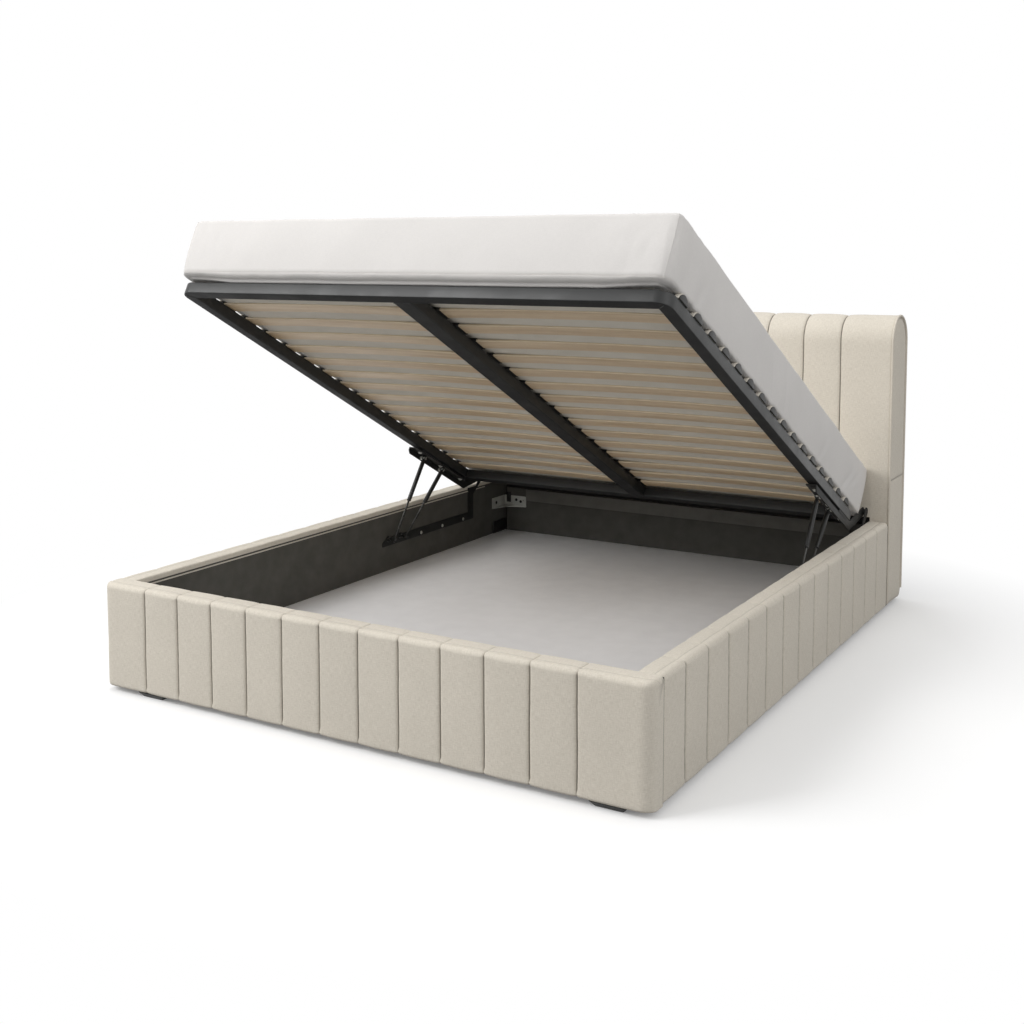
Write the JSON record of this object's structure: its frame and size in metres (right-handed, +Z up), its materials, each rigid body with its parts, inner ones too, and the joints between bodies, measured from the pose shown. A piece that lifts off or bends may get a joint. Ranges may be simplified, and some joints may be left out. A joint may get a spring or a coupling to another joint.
{
  "type": "ottoman bed",
  "caption": "Upholstered ottoman bed: channelled headboard and rails round a storage box, under a sprung-slat mattress platform that lifts on gas struts.",
  "frame": {"origin": "middle of the bed's outer box, on the floor plane under the feet", "axes": "+Z up, +Y towards the headboard, +X to the right seen from the foot end"},
  "size_m": [1.76, 2.219, 1.3653],
  "materials": {
    "upholstery": "woven warm greige upholstery",
    "lined_board": "board faced with dark matte lining",
    "headboard_backing": "board faced with dark matte lining",
    "storage_floor": "light grey matt panel",
    "foot_plastic": "black moulded plastic",
    "bracket_zinc": "zinc plated pressed steel",
    "lift_steel": "dark charcoal powder coat",
    "frame_steel": "dark charcoal powder coat",
    "strut_tube": "black painted pressure tube",
    "strut_rod": "hard chromed rod",
    "slat_wood": "clear lacquered bent birch",
    "mattress_cover": "fine white knitted cover"
  },
  "bodies": {
    "bed": {"foot_rail_cover": "upholstery", "left_rail_cover": "upholstery", "right_rail_cover": "upholstery", "headboard_pad": "upholstery", "foot_rail_board": "lined_board", "left_rail_board": "lined_board", "right_rail_board": "lined_board", "headboard_board": "headboard_backing", "head_panel": "lined_board", "base_board": "storage_floor", "foot_front_left": "foot_plastic", "foot_front_right": "foot_plastic", "foot_head_left": "foot_plastic", "foot_head_right": "foot_plastic", "corner_bracket_left": "bracket_zinc", "corner_bracket_right": "bracket_zinc", "lift_plate_left": "lift_steel", "lift_plate_right": "lift_steel"},
    "platform": {"platform_frame": "frame_steel", "mattress": "mattress_cover", "slat_left_01": "slat_wood", "slat_left_02": "slat_wood", "slat_left_03": "slat_wood", "slat_left_04": "slat_wood", "slat_left_05": "slat_wood", "slat_left_06": "slat_wood", "slat_left_07": "slat_wood", "slat_left_08": "slat_wood", "slat_left_09": "slat_wood", "slat_left_10": "slat_wood", "slat_left_11": "slat_wood", "slat_left_12": "slat_wood", "slat_left_13": "slat_wood", "slat_left_14": "slat_wood", "slat_left_15": "slat_wood", "slat_left_16": "slat_wood", "slat_right_01": "slat_wood", "slat_right_02": "slat_wood", "slat_right_03": "slat_wood", "slat_right_04": "slat_wood", "slat_right_05": "slat_wood", "slat_right_06": "slat_wood", "slat_right_07": "slat_wood", "slat_right_08": "slat_wood", "slat_right_09": "slat_wood", "slat_right_10": "slat_wood", "slat_right_11": "slat_wood", "slat_right_12": "slat_wood", "slat_right_13": "slat_wood", "slat_right_14": "slat_wood", "slat_right_15": "slat_wood", "slat_right_16": "slat_wood"},
    "cylinder_left_a": {"strut_cylinder_left_a": "strut_tube"},
    "rod_left_a": {"strut_rod_left_a": "strut_rod"},
    "cylinder_left_b": {"strut_cylinder_left_b": "strut_tube"},
    "rod_left_b": {"strut_rod_left_b": "strut_rod"},
    "cylinder_right_a": {"strut_cylinder_right_a": "strut_tube"},
    "rod_right_a": {"strut_rod_right_a": "strut_rod"},
    "cylinder_right_b": {"strut_cylinder_right_b": "strut_tube"},
    "rod_right_b": {"strut_rod_right_b": "strut_rod"}
  },
  "joints": [
    {"name": "platform_lift", "type": "hinge", "parent": "bed", "child": "platform", "pos_m": [0, 0.8795, 0.359], "axis": [-1, 0, 0], "range_deg": [-27.2, 0], "stiffness_Nm_per_rad": 255, "springref_deg": 171.89},
    {"name": "strut_pivot_left_a", "type": "hinge", "parent": "platform", "child": "cylinder_left_a", "pos_m": [-0.778, 0.4036, 0.48946], "axis": [1, 0, 0], "range_deg": [-67.18, 0]},
    {"name": "strut_stroke_left_a", "type": "slide", "parent": "cylinder_left_a", "child": "rod_left_a", "axis": [0, 0.58, 0.8146], "range_m": [0, 0.1463]},
    {"name": "strut_pivot_left_b", "type": "hinge", "parent": "platform", "child": "cylinder_left_b", "pos_m": [-0.778, 0.52723, 0.42592], "axis": [1, 0, 0], "range_deg": [-57.38, 0]},
    {"name": "strut_stroke_left_b", "type": "slide", "parent": "cylinder_left_b", "child": "rod_left_b", "axis": [0, 0.752, 0.6592], "range_m": [0, 0.0692]},
    {"name": "strut_pivot_right_a", "type": "hinge", "parent": "platform", "child": "cylinder_right_a", "pos_m": [0.778, 0.4036, 0.48946], "axis": [1, 0, 0], "range_deg": [-67.18, 0]},
    {"name": "strut_stroke_right_a", "type": "slide", "parent": "cylinder_right_a", "child": "rod_right_a", "axis": [0, 0.58, 0.8146], "range_m": [0, 0.1463]},
    {"name": "strut_pivot_right_b", "type": "hinge", "parent": "platform", "child": "cylinder_right_b", "pos_m": [0.778, 0.52723, 0.42592], "axis": [1, 0, 0], "range_deg": [-57.38, 0]},
    {"name": "strut_stroke_right_b", "type": "slide", "parent": "cylinder_right_b", "child": "rod_right_b", "axis": [0, 0.752, 0.6592], "range_m": [0, 0.0692]}
  ],
  "couplings": [
    {"joint": "strut_pivot_left_a", "follows": "platform_lift", "ratio": 2.4693},
    {"joint": "strut_stroke_left_a", "follows": "platform_lift", "m_per_rad": -0.30791},
    {"joint": "strut_pivot_left_b", "follows": "platform_lift", "ratio": 2.1091},
    {"joint": "strut_stroke_left_b", "follows": "platform_lift", "m_per_rad": -0.14558},
    {"joint": "strut_pivot_right_a", "follows": "platform_lift", "ratio": 2.4693},
    {"joint": "strut_stroke_right_a", "follows": "platform_lift", "m_per_rad": -0.30791},
    {"joint": "strut_pivot_right_b", "follows": "platform_lift", "ratio": 2.1091},
    {"joint": "strut_stroke_right_b", "follows": "platform_lift", "m_per_rad": -0.14558}
  ]
}
